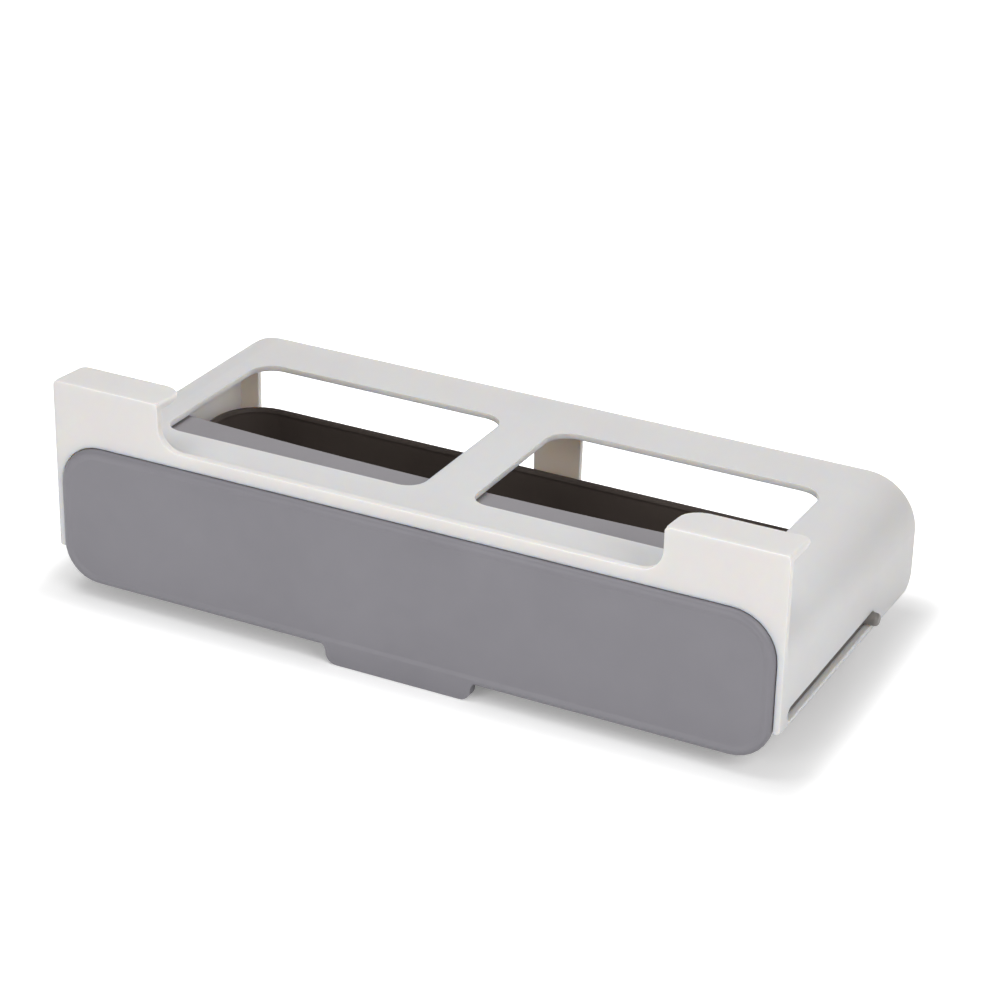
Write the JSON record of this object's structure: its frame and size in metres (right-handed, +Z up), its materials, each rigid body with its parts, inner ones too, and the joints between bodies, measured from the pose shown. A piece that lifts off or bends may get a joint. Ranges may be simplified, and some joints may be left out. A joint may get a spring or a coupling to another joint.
{
  "type": "under-shelf spice rack",
  "caption": "Hook-on frame that hangs under a cupboard shelf, with a shallow spice-jar drawer that pulls forward on side pins and tips down in front.",
  "frame": {"origin": "bottom centre of the bounding box, with the drawer closed; the lowest point is the finger tab's lower edge", "axes": "+X to the right along the width, +Y to the back of the cupboard, +Z up; the drawer pulls out along -Y and falls 1 degree on the way"},
  "size_m": [0.3062, 0.1326, 0.088],
  "materials": {
    "white_plastic": "fine satin injection-moulded white plastic",
    "grey_plastic": "fine matt injection-moulded mid-grey plastic",
    "dark_grey_plastic": "matt injection-moulded dark warm-grey plastic"
  },
  "bodies": {
    "hook_frame": {"frame": "white_plastic"},
    "carriage": {"pivot_pin_left": "grey_plastic", "pivot_pin_right": "grey_plastic"},
    "drawer": {"drawer_tray": "dark_grey_plastic", "pocket_cover": "grey_plastic", "front_panel": "grey_plastic"}
  },
  "joints": [
    {"name": "drawer_slide", "type": "slide", "parent": "hook_frame", "child": "carriage", "axis": [0, -0.9998, -0.0174], "range_m": [0, 0.0775]},
    {"name": "drawer_drop", "type": "hinge", "parent": "carriage", "child": "drawer", "pos_m": [0, 0.0237, 0.0241], "axis": [1, 0, 0], "range_deg": [0, 45]}
  ]
}
